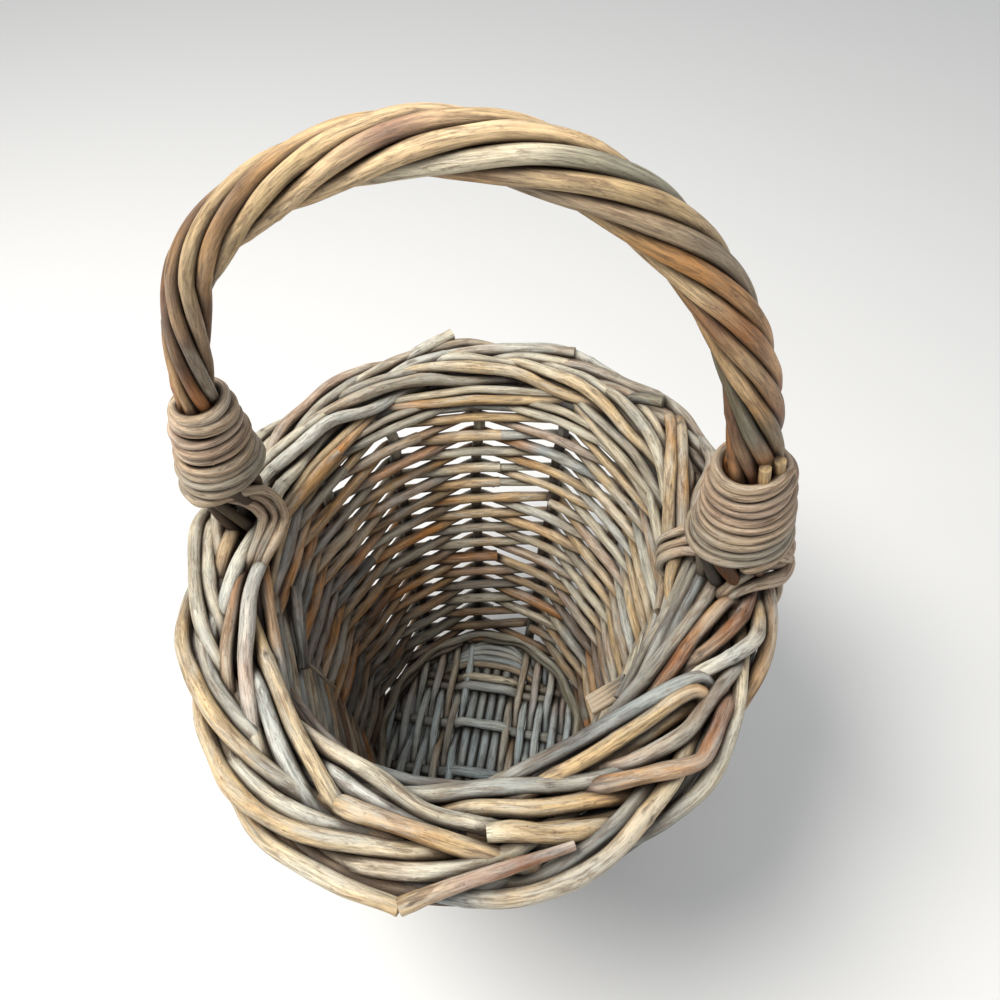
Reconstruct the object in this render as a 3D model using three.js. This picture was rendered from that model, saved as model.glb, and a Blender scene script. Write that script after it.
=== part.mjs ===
// Oval willow gathering basket with a fixed handle of twisted rods.
// Millimetres, up is +Z, the handle's plane is XZ and the front is -Y.
import * as THREE from "three";

// Sizes of the whole basket
const rimWidth = 262;          // outside of the border, left to right
const rimLength = 304;         // outside of the border, front to back
const rimLevel = 195;          // middle of the border above the ground
const baseWidth = 127;         // between opposite stakes at the ground
const baseLength = 148;
const wallBulge = 0.3;         // how far the wall swells between base and border
const handleRise = 204;        // middle of the handle above the middle of the border
const handleLean = 20;         // how far the top of the handle leans to the front
const handleSquareness = 2.6;  // 2 is a half ellipse, more is squarer
const bindingFoot = 36;        // lower end of both bindings above the middle of the border

// Rods
const stakeThick = 6.0;
const borderRodThick = 7.0;
const weaverThick = 4.4;
const upsettThick = 5.2;
const handleRodThick = 5.6;
const bowThick = 6.3;
const stickThick = 5.4;
const baseWeaverThick = 4.0;
const footThick = 7.6;
const caneWide = 3.9;
const caneThick = 3.0;
const pegThick = 3.2;

// Counts
const stakeCount = 13;         // odd, so that a single weaver passes each stake on alternate sides
const plaitStrands = 5;
const upsettRounds = 3;
const weaveBands = 3;
const bindingTurns = 10.175;
const handleRods = 7;          // twisted round the bow
const handleTwist = 3.3;       // turns of the handle rods from foot to foot
const twistGain = 0.17;        // how much closer the twist is at the right foot than at the left

// Free space kept between neighbouring pieces
const clearance = 0.4;
const rowGap = 0.4;

const group = new THREE.Group();
group.name = "gathering_basket";
const tau = Math.PI * 2;

function finish(name, geometry, colour) {
  const material = new THREE.MeshStandardMaterial({ color: colour, roughness: 0.75 });
  material.name = name;
  const mesh = new THREE.Mesh(geometry, material);
  mesh.name = name;
  group.add(mesh);
  return mesh;
}

// A rod is a closed tube through its points. The section may be wider across than it is thick, and
// then "face" gives the direction of its thickness at each point.
function tube(points, halfWide, sides, options = {}) {
  const { loop = false, halfThick = halfWide, face = null, turn = 0 } = options;
  const n = points.length;
  const tangents = points.map((p, i) => {
    const before = loop ? points[(i + n - 1) % n] : points[Math.max(i - 1, 0)];
    const after = loop ? points[(i + 1) % n] : points[Math.min(i + 1, n - 1)];
    const back = p.clone().sub(before), on = after.clone().sub(p);
    if (back.lengthSq() > 0) back.normalize();
    if (on.lengthSq() > 0) on.normalize();
    return back.add(on).normalize();
  });
  const across = [];
  let last = Math.abs(tangents[0].z) < 0.8 ? new THREE.Vector3(0, 0, 1) : new THREE.Vector3(1, 0, 0);
  for (let i = 0; i < n; i++) {
    const t = tangents[i];
    const guide = face ? face(i) : last;
    const normal = guide.clone().addScaledVector(t, -guide.dot(t)).normalize();
    across.push(normal);
    last = normal;
  }
  const position = [];
  for (let i = 0; i < n; i++) {
    const side = new THREE.Vector3().crossVectors(tangents[i], across[i]);
    for (let k = 0; k < sides; k++) {
      const a = (k / sides) * tau + turn;
      const p = points[i].clone().addScaledVector(across[i], Math.cos(a) * halfThick)
        .addScaledVector(side, Math.sin(a) * halfWide);
      position.push(p.x, p.y, p.z);
    }
  }
  const index = [];
  const spans = loop ? n : n - 1;
  for (let i = 0; i < spans; i++) {
    const j = (i + 1) % n;
    for (let k = 0; k < sides; k++) {
      const m = (k + 1) % sides;
      const a = i * sides + k, b = i * sides + m, c = j * sides + k, d = j * sides + m;
      index.push(a, b, d, a, d, c);
    }
  }
  if (!loop) {
    for (let k = 1; k < sides - 1; k++) index.push(0, k + 1, k);
    const e = (n - 1) * sides;
    for (let k = 1; k < sides - 1; k++) index.push(e, e + k, e + k + 1);
  }
  const geometry = new THREE.BufferGeometry();
  geometry.setAttribute("position", new THREE.Float32BufferAttribute(position, 3));
  geometry.setIndex(index);
  geometry.computeVertexNormals();
  return geometry;
}

const v = (x, y, z) => new THREE.Vector3(x, y, z);
const bent = (points, steps) => new THREE.CatmullRomCurve3(points, false, "centripetal").getPoints(steps);

// The plait of the border: five strands, each two rods wide, passing over two and under two
const rodStep = borderRodThick + clearance + 0.05;
const laneHalf = rodStep * 0.55;
const swing = rodStep * 2.1;
const plaitHigh = rodStep * 1.22;    // how far the rods' middle lines reach above the middle of the border
const borderHalf = rodStep * 2.28 + borderRodThick / 2;
const borderA = rimWidth / 2 - borderHalf;
const borderB = rimLength / 2 - borderHalf;

// Places round the oval are given as a share of its length, 0 at +X and a quarter at the back
const lengths = [0];
const fine = 1440;
for (let i = 1; i <= fine; i++) {
  const a = ((i - 0.5) / fine) * tau;
  lengths.push(lengths[i - 1] + Math.hypot(borderA * Math.sin(a), borderB * Math.cos(a)) * (tau / fine));
}
const borderLength = lengths[fine];
function angleAt(share) {
  const whole = Math.floor(share);
  const want = (share - whole) * borderLength;
  let low = 0, high = fine;
  while (high - low > 1) {
    const mid = (low + high) >> 1;
    if (lengths[mid] <= want) low = mid; else high = mid;
  }
  const part = (want - lengths[low]) / (lengths[high] - lengths[low]);
  return ((low + part) / fine + whole) * tau;
}
const stakeShare = (k) => firstStake + k / stakeCount;

// A point on the border, moved outward and upward from its middle line
function onBorder(share, out, up) {
  const a = angleAt(share);
  const nx = Math.cos(a) / borderA, ny = Math.sin(a) / borderB, l = Math.hypot(nx, ny);
  return v(borderA * Math.cos(a) + (out * nx) / l, borderB * Math.sin(a) + (out * ny) / l, rimLevel + up);
}

// The course of one strand. "station" counts stakes from the place where it dives at the middle
const firstStake = 0.2806;
const stakeLead = 2.6;               // stations from a stake to where its own strand first dives
function course(station) {
  const f = (tau * station) / plaitStrands;
  return {
    out: swing * Math.sin(f),
    up: rodStep * (0.12 * Math.cos(2 * f) - 0.96 * Math.sin(2 * f) - 0.21 * Math.sin(4 * f)),
    tilt: 0.37 * Math.sin(3 * f) - 0.14 * Math.cos(3 * f) - 0.89 * Math.sin(f) - 0.29 * Math.cos(f),
  };
}

// The legs of the handle go down through the plait, and the rods part round them
const legs = [{ share: 0.5, out: -4 }, { share: 1.0, out: 4 }];
const legPush = 2.8;
function plait(strand, station, lane) {
  const share = stakeShare(strand) + (station + stakeLead) / stakeCount;
  const { out: middle, up, tilt } = course(station);
  let out = middle + lane * laneHalf * Math.cos(tilt);
  for (const leg of legs) {
    const away = (share - leg.share - Math.round(share - leg.share)) * borderLength;
    out += legPush * Math.tanh((out - leg.out) / 2.2) * Math.exp(-((away / 20) ** 2));
  }
  return onBorder(share, out, up + lane * laneHalf * Math.sin(tilt));
}

// The wall
const wallFoot = footThick + 3;
const topA = borderA - rodStep * 2;
const topB = borderB - rodStep * 2;
function wallAt(share, level, out = 0) {
  const s = (level - wallFoot) / (rimLevel - wallFoot);
  const g = s + wallBulge * s * (1 - s);
  const a = baseWidth / 2 + (topA - baseWidth / 2) * g;
  const b = baseLength / 2 + (topB - baseLength / 2) * g;
  const t = angleAt(share);
  const nx = Math.cos(t) / a, ny = Math.sin(t) / b, l = Math.hypot(nx, ny);
  return v(a * Math.cos(t) + (out * nx) / l, b * Math.sin(t) + (out * ny) / l, level);
}
const plaitUnder = plaitHigh + borderRodThick / 2 + clearance;
const stakeTop = rimLevel - plaitUnder - 3.5;

// Stakes: each comes up through the wall and turns down into the plait for one full weave of it
const strandStart = -2.15, strandEnd = 2.58;
const tailSteps = 20;
for (let k = 0; k < stakeCount; k++) {
  const points = [];
  const uprights = 7;
  for (let i = 0; i <= uprights; i++) {
    const level = footThick + clearance + ((stakeTop - footThick - clearance) * i) / uprights;
    points.push(wallAt(stakeShare(k), level));
  }
  for (let i = 0; i <= tailSteps; i++) {
    points.push(plait(k, strandStart + ((strandEnd - strandStart) * i) / tailSteps, -1));
  }
  const name = "stake_" + String(k + 1).padStart(2, "0");
  finish(name, tube(points, stakeThick / 2, 6), 0x9c8a6a);
}

// Second rods of the plait, one beside the tail of each stake
for (let k = 0; k < stakeCount; k++) {
  const points = [];
  for (let i = 0; i <= tailSteps; i++) {
    points.push(plait(k, strandStart + ((strandEnd - strandStart) * i) / tailSteps, 1));
  }
  const name = "border_rod_" + String(k + 1).padStart(2, "0");
  finish(name, tube(points, borderRodThick / 2, 6), 0xb08d57);
}

// Weave of the wall: over one stake and under one, in one spiral cut into lengths
function weaveAway(thick) {
  return stakeThick / 2 + thick / 2 + clearance + 0.8;
}
function weaveBand(name, from, rounds, startRound, thick, pitch, colour) {
  const points = [];
  const first = Math.round(startRound * stakeCount);
  const last = Math.round((startRound + rounds) * stakeCount) - 1;
  for (let i = first; i <= last; i++) {
    const level = from + (pitch * (i - first)) / stakeCount;
    const out = i % 2 ? weaveAway(thick) : -weaveAway(thick);
    points.push(wallAt(stakeShare(i), level, out));
  }
  finish(name, tube(points, thick / 2, 5, { face: (i) => v(points[i].x, points[i].y, 0) }), colour);
}
const upsettFoot = wallFoot + upsettThick / 2 + 2.6;
const upsettPitch = upsettThick + rowGap;
weaveBand("upsett_weave", upsettFoot, upsettRounds, 0, upsettThick, upsettPitch, 0x8b7a5e);
const weaveFoot = upsettFoot + upsettRounds * upsettPitch + (weaverThick - upsettThick) / 2 + 0.4;
const weaveTop = stakeTop - 1.6;
const weaveRounds = Math.floor((weaveTop - weaveFoot) / (weaverThick + rowGap) / weaveBands) * weaveBands;
const weavePitch = (weaveTop - weaveFoot) / weaveRounds;
for (let band = 0; band < weaveBands; band++) {
  const rounds = weaveRounds / weaveBands;
  const from = weaveFoot + band * rounds * weavePitch;
  weaveBand("side_weave_" + (band + 1), from, rounds, upsettRounds + band * rounds, weaverThick,
    weavePitch, [0x9a8d72, 0xa39478, 0xa98f63][band % 3]);
}

// Foot: a thick rod laid round under the stakes, flat underneath
const footPoints = [];
for (let i = 0; i < 45; i++) {
  const p = wallAt(i / 45, wallFoot);
  footPoints.push(v(p.x, p.y, (footThick / 2) * Math.cos(Math.PI / 8)));
}
finish("foot_ring", tube(footPoints, footThick / 2, 8,
  { loop: true, face: () => v(0, 0, 1), turn: Math.PI / 8 }), 0x86765c);

// Base: four long sticks over four cross sticks, filled with thinner rods. Every stick ends on the
// foot ring, between two stakes
const footTop = footThick * Math.cos(Math.PI / 8);
const stickStep = stickThick + clearance;
const crossLevel = footTop + stickThick / 2 + clearance;
const longLevel = crossLevel + stickThick + clearance;
const baseRise = (stickThick + baseWeaverThick) / 2 + clearance + 1.2;
const stickReach = 1 - 1.5 / baseWidth;
const wallInside = weaveAway(upsettThick) + upsettThick / 2 + baseWeaverThick / 2 + clearance;
const ovalHalf = (place, along, over) => (along / 2) * Math.sqrt(Math.max(0, 1 - (2 * place / over) ** 2));
const stakeFoot = (k) => wallAt(stakeShare(k), footTop);
const between = (k, part) => stakeFoot(k).lerp(stakeFoot(k + 1), part);
const crossPlaces = [between(4, 0.46).y, between(3, 0.6).y, between(2, 0.6).y, between(1, 0.56).y];
const backFan = [between(0, 0.25).x, between(12, 0.78).x, between(12, 0.51).x, between(12, 0.24).x];
const frontFan = [between(5, 0.58).x, between(5, 0.785).x, between(6, 0.29).x, between(6, 0.52).x];
for (let i = 0; i < 4; i++) {
  const x = (i - 1.5) * stickStep;
  const back = backFan[i], front = frontFan[i];
  const far = (place) => ovalHalf(place, baseLength, baseWidth) * stickReach;
  const low = wallInside + 0.6;
  const points = [v(front, -far(front), crossLevel), v(front, -far(front) + low, crossLevel),
    v(x + (front - x) * 0.1, crossPlaces[0] - stickThick, longLevel),
    v(x, crossPlaces[1], longLevel), v(x, crossPlaces[2], longLevel),
    v(x + (back - x) * 0.1, crossPlaces[3] + stickThick + 2, longLevel),
    v(back, far(back) - low, crossLevel), v(back, far(back), crossLevel)];
  finish("base_long_stick_" + (i + 1), tube(points, stickThick / 2, 6), 0x7d6c4f);
}
crossPlaces.forEach((y, i) => {
  const end = ovalHalf(y, baseWidth, baseLength) * stickReach;
  const points = [v(-end, y, crossLevel), v(0, y, crossLevel), v(end, y, crossLevel)];
  finish("base_cross_stick_" + (i + 1), tube(points, stickThick / 2, 6), 0x86724f);
});

// Base filling: one rod goes to and fro over and under the cross sticks on each side
const fillPitch = baseWeaverThick + clearance + 0.9;
for (const side of [-1, 1]) {
  const points = [];
  const firstX = 2 * stickStep + baseWeaverThick / 2 + clearance + 0.3;
  const turnRoom = (stickThick + baseWeaverThick) / 2 + clearance + 0.6;
  const crossed = (x) => crossPlaces.filter((y) => ovalHalf(Math.abs(y) + turnRoom, baseWidth - 2 * wallInside,
    baseLength - 2 * wallInside) > x);
  let x = firstX, way = -1, last = null;
  while (crossed(x).length > 2) {
    const places = crossed(x).slice().sort((p, q) => way * (p - q));
    const sign = (y) => (crossPlaces.indexOf(y) % 2 ? -1 : 1) * way;
    if (last && last.length > places.length) {
      const skipped = way > 0 ? crossPlaces[0] : crossPlaces[3];
      points.push(v(side * (x - fillPitch / 4), skipped, crossLevel + sign(skipped) * baseRise));
    }
    for (const y of places) points.push(v(side * x, y, crossLevel + sign(y) * baseRise));
    last = places;
    const end = places[places.length - 1] + way * turnRoom;
    x += fillPitch;
    way = -way;
    if (crossed(x).length > 2) points.push(v(side * (x - fillPitch / 2), end, crossLevel));
  }
  finish("base_fill_" + (side < 0 ? "left" : "right"), tube(points, baseWeaverThick / 2, 5), 0x94835f);
}

// Handle: a straight bow rod in the middle and the other rods twisted round it
const ringRadius = ((handleRodThick + clearance) / (2 * Math.sin(Math.PI / handleRods))) * 1.03;
const ropeHalf = ringRadius + handleRodThick / 2;
const legLeft = onBorder(0.5, 3.2, 0).x;
const legRight = onBorder(1.0, 0.6, 0).x;
const handleMid = (legLeft + legRight) / 2;
const handleHalf = (legRight - legLeft) / 2;
const handleCurve = [];
for (let i = 0; i <= 720; i++) {
  const a = Math.PI * (1 - i / 720);
  const c = Math.cos(a), s = Math.sin(a);
  const up = handleRise * Math.abs(s) ** (2 / handleSquareness);
  handleCurve.push(v(handleMid + handleHalf * Math.sign(c) * Math.abs(c) ** (2 / handleSquareness),
    -handleLean * (up / handleRise) ** 1.5, rimLevel + up));
}
const handleAlong = [0];
for (let i = 1; i < handleCurve.length; i++) {
  handleAlong.push(handleAlong[i - 1] + handleCurve[i].distanceTo(handleCurve[i - 1]));
}
const handleLength = handleAlong[handleAlong.length - 1];
function onHandle(distance) {
  const want = Math.min(Math.max(distance, 0), handleLength);
  let low = 0, high = handleAlong.length - 1;
  while (high - low > 1) {
    const mid = (low + high) >> 1;
    if (handleAlong[mid] <= want) low = mid; else high = mid;
  }
  const part = (want - handleAlong[low]) / (handleAlong[high] - handleAlong[low]);
  const point = handleCurve[low].clone().lerp(handleCurve[high], part);
  point.z += distance < 0 ? distance : distance > handleLength ? handleLength - distance : 0;
  return point;
}
function handleFrame(distance) {
  const tangent = onHandle(distance + 3).sub(onHandle(distance - 3)).normalize();
  const front = v(0, -1, 0).addScaledVector(tangent, tangent.y).normalize();
  const outward = new THREE.Vector3().crossVectors(front, tangent).normalize();
  return { tangent, front, outward };
}

// Bindings of cane round the two feet, and how the rods spread inside them
const canePitch = caneWide + clearance + 0.2;
const bindingTall = bindingTurns * canePitch;
const spreadFoot = 6.4;
const spread = (distance) => {
  const near = Math.min(distance, handleLength - distance);
  const part = 1 - (near - bindingFoot) / bindingTall;
  return spreadFoot * Math.min(Math.max(part, 0), 1.25);
};
const handleRodSteps = 36;
const handleRodFoot = plaitHigh + borderRodThick / 2 + handleRodThick * 0.2 + 1.4;
const twistAt = (part) => handleTwist * part * (1 - twistGain * (1 - part));
for (let k = 0; k < handleRods; k++) {
  const points = [];
  for (let i = 0; i <= handleRodSteps; i++) {
    const distance = handleRodFoot + ((handleLength - 2 * handleRodFoot) * i) / handleRodSteps;
    const { front, outward } = handleFrame(distance);
    const turn = tau * (k / handleRods + twistAt(distance / handleLength));
    const far = ringRadius + spread(distance);
    points.push(onHandle(distance).addScaledVector(front, Math.cos(turn) * far)
      .addScaledVector(outward, Math.sin(turn) * far));
  }
  finish("handle_rod_" + (k + 1), tube(points, handleRodThick / 2, 6), 0xa5845a);
}

// The bow goes on down through the border and lies against the outside of the wall
const bowPoints = [];
const bowDown = 56;
const bowSteps = 30;
const wallSide = (leg) => {
  const list = [];
  for (let i = 0; i <= 3; i++) {
    const out = weaveAway(weaverThick) + weaverThick / 2 + bowThick / 2 + clearance + 0.3;
    list.push(wallAt(leg.share, rimLevel - plaitUnder - 6 - (bowDown * i) / 3, out));
  }
  return list;
};
bowPoints.push(...wallSide(legs[0]).reverse());
for (const up of [-plaitUnder, plaitUnder]) bowPoints.push(onBorder(legs[0].share, legs[0].out, up));
for (let i = 0; i <= bowSteps; i++) {
  bowPoints.push(onHandle(bindingFoot - 3 + ((handleLength - 2 * bindingFoot + 6) * i) / bowSteps));
}
for (const up of [plaitUnder, -plaitUnder]) bowPoints.push(onBorder(legs[1].share, legs[1].out, up));
bowPoints.push(...wallSide(legs[1]));
finish("handle_bow", tube(bowPoints, bowThick / 2, 6), 0x8a6c46);

// Each binding is one length of cane. Its tail crosses the border and hangs inside the basket
function caneBinding(name, leg) {
  const points = [], faces = [];
  const steps = 12;
  const total = Math.round(bindingTurns * steps);
  const away = (d) => ropeHalf + spread(d) + caneThick / 2 + clearance + 0.55;
  for (let i = 0; i <= total; i++) {
    const up = bindingFoot + bindingTall * (1 - i / total);
    const distance = leg < 0 ? up : handleLength - up;
    const { front, outward } = handleFrame(distance);
    const turn = (tau * (i - total)) / steps - 0.1;
    const way = front.clone().multiplyScalar(Math.cos(turn)).addScaledVector(outward, -Math.sin(turn));
    points.push(onHandle(distance).addScaledVector(way, away(distance)));
    faces.push(way);
  }
  // The tail runs on inward over the border and hangs down inside the wall
  const edge = points[points.length - 1];
  for (const p of overInside(besideLeg(leg, 0), edge.z - rimLevel)) {
    points.push(p.point);
    faces.push(p.face);
  }
  return { name, points, faces, leg, steps };
}

// Cane over the inner edge of the border, from beside the binding down to its end inside
const caneOver = plaitHigh + borderRodThick / 2 + clearance + caneThick / 2 + 0.4;
const caneHang = 34;
const tailFront = ropeHalf + spreadFoot + caneThick;
const besideLeg = (leg, step) => (leg < 0 ? 0.5 : 1) - (leg * (tailFront + step)) / borderLength;
function overInside(share, startUp) {
  const inside = weaveAway(weaverThick) + weaverThick / 2 + caneThick / 2 + clearance + 0.8;
  const outAt = (point) => onBorder(share, 1, 0).sub(onBorder(share, 0, 0)).dot(point.clone()
    .sub(onBorder(share, 0, 0)));
  const low = wallAt(share, rimLevel - plaitUnder - 9, -inside);
  const hang = wallAt(share, rimLevel - plaitUnder - caneHang, -inside);
  const mouth = outAt(low);
  const outward = onBorder(share, 1, 0).sub(onBorder(share, 0, 0));
  const up = v(0, 0, 1);
  const tilted = up.clone().sub(outward).normalize();
  return [
    { point: onBorder(share, -borderHalf * 0.78, Math.max(caneOver, startUp - 2.5)), face: up },
    { point: onBorder(share, -borderHalf - 0.5, caneOver - 2.5), face: tilted },
    { point: onBorder(share, mouth, 0), face: outward.clone().negate() },
    { point: low, face: outward.clone().negate() },
    { point: hang, face: outward.clone().negate() },
  ];
}

// Loose lengths of cane that tie each binding down over the border
function caneTie(name, leg) {
  const step = caneWide + clearance + 1.2;
  const points = [], faces = [];
  const first = besideLeg(leg, step), second = besideLeg(leg, 2 * step);
  for (const p of overInside(first, 0).reverse()) {
    points.push(p.point);
    faces.push(p.face);
  }
  const up = v(0, 0, 1);
  if (leg < 0) {
    const near = -borderHalf * 0.6;
    points.push(onBorder(first, near, caneOver), onBorder((first + second) / 2, near + 3, caneOver),
      onBorder(second, near, caneOver));
    faces.push(up, up, up);
    for (const p of overInside(second, 0)) {
      points.push(p.point);
      faces.push(p.face);
    }
  } else {
    const outward = onBorder(first, 1, 0).sub(onBorder(first, 0, 0));
    points.push(onBorder(first, 0, caneOver), onBorder(first, borderHalf * 0.8, caneOver),
      onBorder(first, borderHalf + 1.5, caneOver - 3.5),
      onBorder(first, borderHalf + caneThick / 2 + clearance + 0.8, 0),
      onBorder(first, borderHalf - 1, -caneOver));
    faces.push(up, up, up.clone().add(outward).normalize(), outward, outward.clone().sub(up).normalize());
  }
  return { name, points, faces, leg, steps: 3 };
}
function sectionReach(direction, tangent, face) {
  const side = new THREE.Vector3().crossVectors(tangent, face).normalize();
  const flat = face.clone().addScaledVector(tangent, -face.dot(tangent)).normalize();
  return Math.hypot((caneThick / 2) * direction.dot(flat), (caneWide / 2) * direction.dot(side));
}
function leastGap({ points, faces, steps }) {
  let least = Infinity;
  const tangents = points.map((p, i) => points[Math.min(i + 1, points.length - 1)].clone()
    .sub(points[Math.max(i - 1, 0)]).normalize());
  for (let i = 0; i < points.length; i++) {
    for (let j = i + Math.round(steps * 0.6); j < points.length; j++) {
      const d = points[j].clone().sub(points[i]);
      const l = d.length();
      if (l > 12) continue;
      d.divideScalar(l);
      least = Math.min(least, l - sectionReach(d, tangents[i], faces[i]) - sectionReach(d, tangents[j], faces[j]));
    }
  }
  return least;
}
for (const leg of [-1, 1]) {
  const binding = caneBinding(leg < 0 ? "left_binding" : "right_binding", leg);
  const gap = leastGap(binding);
  console.log(binding.name + ": least gap of the cane to itself " + gap.toFixed(2) + " mm");
  finish(binding.name, tube(binding.points, caneWide / 2, 5,
    { halfThick: caneThick / 2, face: (i) => binding.faces[i] }), 0xa38b6c);
  const tie = caneTie(leg < 0 ? "left_tie" : "right_tie", leg);
  finish(tie.name, tube(tie.points, caneWide / 2, 5,
    { halfThick: caneThick / 2, face: (i) => tie.faces[i] }), 0xa38b6c);
}

// Two cut pegs driven in at the top of the right binding
const pegTall = 9;
for (const [i, turn] of [0.3, 0.85].entries()) {
  const foot = handleLength - bindingFoot - bindingTall - caneWide / 2 - clearance / 2;
  const points = [0, 0.5, 1].map((part) => {
    const distance = foot - pegTall * part;
    const { front, outward } = handleFrame(distance);
    const far = ropeHalf + pegThick / 2 + clearance;
    return onHandle(distance).addScaledVector(front, Math.cos(turn) * far)
      .addScaledVector(outward, Math.sin(turn) * far);
  });
  finish("right_peg_" + (i + 1), tube(points, pegThick / 2, 6), 0x7a5a36);
}

// The part is centred on its own outline, so the origin is under the middle of it
const box = new THREE.Box3().setFromObject(group);
const middle = box.getCenter(new THREE.Vector3());
for (const mesh of group.children) mesh.geometry.translate(-middle.x, -middle.y, -box.min.z);
console.log("size " + (box.max.x - box.min.x).toFixed(1) + " x " + (box.max.y - box.min.y).toFixed(1)
  + " x " + (box.max.z - box.min.z).toFixed(1) + " mm");

export default group;
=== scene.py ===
import math
import bpy
import numpy as np
from mathutils import Matrix, Vector


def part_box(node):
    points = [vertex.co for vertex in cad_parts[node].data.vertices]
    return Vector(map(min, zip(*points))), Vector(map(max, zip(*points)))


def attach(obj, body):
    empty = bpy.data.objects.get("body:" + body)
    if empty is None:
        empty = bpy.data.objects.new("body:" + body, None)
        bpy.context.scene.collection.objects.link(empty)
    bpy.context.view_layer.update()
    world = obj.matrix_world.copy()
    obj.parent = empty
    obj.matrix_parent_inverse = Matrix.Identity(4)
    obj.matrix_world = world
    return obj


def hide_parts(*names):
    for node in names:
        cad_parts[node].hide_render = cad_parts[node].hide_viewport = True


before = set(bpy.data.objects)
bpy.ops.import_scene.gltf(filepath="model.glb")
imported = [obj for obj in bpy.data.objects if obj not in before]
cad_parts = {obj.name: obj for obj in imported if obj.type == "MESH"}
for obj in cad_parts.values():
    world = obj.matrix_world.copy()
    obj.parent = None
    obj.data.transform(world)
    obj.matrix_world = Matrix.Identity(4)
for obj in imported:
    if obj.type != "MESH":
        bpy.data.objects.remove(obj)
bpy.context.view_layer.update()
print("frame loaded")

# sizes of the basket in millimetres, as in the solids
basket = {
    "rimWidth": 262, "rimLength": 304, "rimLevel": 195,
    "baseWidth": 127, "baseLength": 148, "wallBulge": 0.3,
    "handleRise": 204, "handleLean": 20, "handleSquareness": 2.6,
    "stakes": 13, "firstStake": 0.2806, "stakeThick": 6.0, "borderThick": 7.0,
    "weaverThick": 4.4, "upsettThick": 5.2, "upsettRows": 3, "handleThick": 5.6, "stickThick": 5.4,
    "footThick": 7.6, "clearance": 0.4, "legReach": (3.2, 0.6), "bindingFoot": 36.0,
}
low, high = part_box("foot_ring")
middle = np.array([(low[0] + high[0]) / 2, (low[1] + high[1]) / 2, 0.0]) * 1000

tau = math.tau
newDice = np.random.default_rng
stakes = basket["stakes"]
rimLevel = basket["rimLevel"]
rodStep = basket["borderThick"] + 0.45
borderHalf = rodStep * 2.28 + basket["borderThick"] / 2
borderA = basket["rimWidth"] / 2 - borderHalf
borderB = basket["rimLength"] / 2 - borderHalf
fineAngles = np.linspace(0, tau, 1441)
fineMiddles = (fineAngles[1:] + fineAngles[:-1]) / 2
fineLengths = np.concatenate([[0], np.cumsum(
    np.hypot(borderA * np.sin(fineMiddles), borderB * np.cos(fineMiddles)) * tau / 1440)])
borderLength = fineLengths[-1]


def smoothNoise(seed, size, wave):
    # a smooth wandering number along a rod, the same on every run
    dice = newDice(seed)
    waves = [(size * dice.uniform(0.3, 0.8), tau / (wave * dice.uniform(0.5, 1.7)), dice.uniform(0, tau))
             for _ in range(4)]
    return lambda x: sum(a * np.sin(w * x + p) for a, w, p in waves)


def angleAt(share):
    # places round the oval are a share of its length, 0 at +X and a quarter at the back
    whole = np.floor(share)
    return np.interp((share - whole) * borderLength, fineLengths, fineAngles) + whole * tau


def ovalPoint(a, b, angle, out, level):
    nx, ny = np.cos(angle) / a, np.sin(angle) / b
    length = np.hypot(nx, ny)
    x = a * np.cos(angle) + out * nx / length
    y = b * np.sin(angle) + out * ny / length
    return np.stack(np.broadcast_arrays(x, y, level), -1)


def onBorder(share, out, up):
    return ovalPoint(borderA, borderB, angleAt(share), out, rimLevel + up)


wallFoot = basket["footThick"] + 3
topA = borderA - rodStep * 2
topB = borderB - rodStep * 2


def wallAt(share, level, out=0.0):
    s = (level - wallFoot) / (rimLevel - wallFoot)
    g = s + basket["wallBulge"] * s * (1 - s)
    a = basket["baseWidth"] / 2 + (topA - basket["baseWidth"] / 2) * g
    b = basket["baseLength"] / 2 + (topB - basket["baseLength"] / 2) * g
    return ovalPoint(a, b, angleAt(share), out, level)


def stakeShare(k):
    return basket["firstStake"] + k / stakes


def curved(points, step):
    # a smooth line through the points, with places about one step apart
    points = np.asarray(points, float)
    padded = np.vstack([2 * points[0] - points[1], points, 2 * points[-1] - points[-2]])
    dense = []
    for i in range(1, len(padded) - 2):
        p0, p1, p2, p3 = padded[i - 1:i + 3]
        t = np.linspace(0, 1, 17)[:-1, None]
        dense.append(0.5 * (2 * p1 + (p2 - p0) * t + (2 * p0 - 5 * p1 + 4 * p2 - p3) * t ** 2
                            + (3 * p1 - p0 - 3 * p2 + p3) * t ** 3))
    return evenly(np.vstack(dense + [points[-1:]]), step)


def lengthAlong(points):
    return np.concatenate([[0], np.cumsum(np.linalg.norm(np.diff(points, axis=0), axis=1))])


def sample(want, marks, points):
    return np.stack([np.interp(want, marks, values) for values in np.asarray(points, float).T], -1)


def evenly(points, step):
    along = lengthAlong(points)
    count = max(int(round(along[-1] / step)), 2)
    return sample(np.linspace(0, along[-1], count + 1), along, points)


def linear(code):
    values = [int(code[i:i + 2], 16) / 255 for i in (0, 2, 4)]
    return np.array([v / 12.92 if v <= 0.04045 else ((v + 0.055) / 1.055) ** 2.4 for v in values])


# colours of the rods
tones = {name: linear(code) for name, code in {
    "cream": "ded2b6", "honey": "d2b485", "gold": "e6c698", "amber": "c0945f", "orange": "cb8a45",
    "ochre": "b07036", "rust": "98643f", "brown": "7b5f49", "bark": "6f4f37", "dark": "3b322b",
    "tan": "b79e7f", "pink": "bda28d", "plum": "7e5048", "moss": "8a8670", "olive": "7b735c",
    "clay": "a99f8c", "steel": "a0a8a8", "chalk": "ccccc3", "ash": "716e68",
    "slate": "b6c6cb", "slatePale": "ccd6d5", "bleached": "dadacf", "caneTan": "ccb190", "canePink": "c4a78e",
}.items()}


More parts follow.
